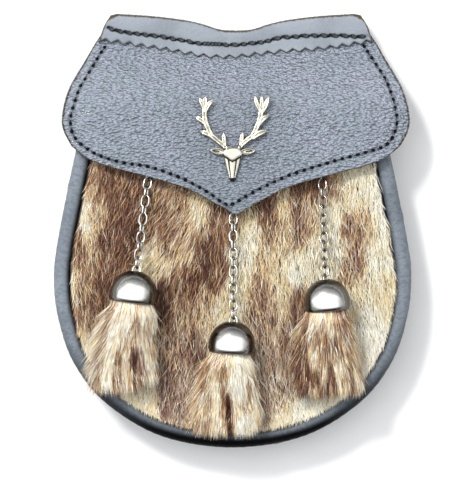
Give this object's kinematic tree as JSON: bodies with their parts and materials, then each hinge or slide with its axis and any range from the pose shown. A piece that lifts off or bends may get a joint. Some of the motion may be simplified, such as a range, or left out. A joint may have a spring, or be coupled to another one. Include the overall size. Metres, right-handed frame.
{
  "type": "sporran pouch",
  "caption": "Leather sporran pouch with a fur front, a pointed flap with a stag's head badge, and fur tassels in polished caps on chains.",
  "frame": {"origin": "middle of the outline, on the surface that the pouch lies on", "axes": "+X across the pouch to the right as seen from the front, +Y up the pouch towards the top edge, +Z out of its front"},
  "size_m": [0.1898, 0.2306, 0.057],
  "materials": {
    "smooth_leather": "satin",
    "pebbled_leather": "satin, pebbled grain",
    "fur": "matt, short combed hair",
    "antique_silver": "antiqued",
    "dark_silver": "polished"
  },
  "bodies": {
    "root": {"back_panel": "smooth_leather", "belt_loop_left": "smooth_leather", "belt_loop_right": "smooth_leather", "dome_left": "dark_silver", "dome_middle": "dark_silver", "dome_right": "dark_silver", "flap": "pebbled_leather", "front_panel": "smooth_leather", "front_welt": "smooth_leather", "fur_front": "fur", "gusset": "smooth_leather", "hinge_strip": "smooth_leather", "link_left_01": "antique_silver", "link_left_02": "antique_silver", "link_left_03": "antique_silver", "link_left_04": "antique_silver", "link_left_05": "antique_silver", "link_left_06": "antique_silver", "link_left_07": "antique_silver", "link_left_08": "antique_silver", "link_left_09": "antique_silver", "link_left_10": "antique_silver", "link_left_11": "antique_silver", "link_left_12": "antique_silver", "link_middle_01": "antique_silver", "link_middle_02": "antique_silver", "link_middle_03": "antique_silver", "link_middle_04": "antique_silver", "link_middle_05": "antique_silver", "link_middle_06": "antique_silver", "link_middle_07": "antique_silver", "link_middle_08": "antique_silver", "link_middle_09": "antique_silver", "link_middle_10": "antique_silver", "link_middle_11": "antique_silver", "link_middle_12": "antique_silver", "link_middle_13": "antique_silver", "link_middle_14": "antique_silver", "link_right_01": "antique_silver", "link_right_02": "antique_silver", "link_right_03": "antique_silver", "link_right_04": "antique_silver", "link_right_05": "antique_silver", "link_right_06": "antique_silver", "link_right_07": "antique_silver", "link_right_08": "antique_silver", "link_right_09": "antique_silver", "link_right_10": "antique_silver", "link_right_11": "antique_silver", "link_right_12": "antique_silver", "link_right_13": "antique_silver", "stag_badge": "antique_silver", "staple_left": "antique_silver", "staple_middle": "antique_silver", "staple_right": "antique_silver", "tassel_left": "fur", "tassel_middle": "fur", "tassel_right": "fur"}
  },
  "joints": []
}
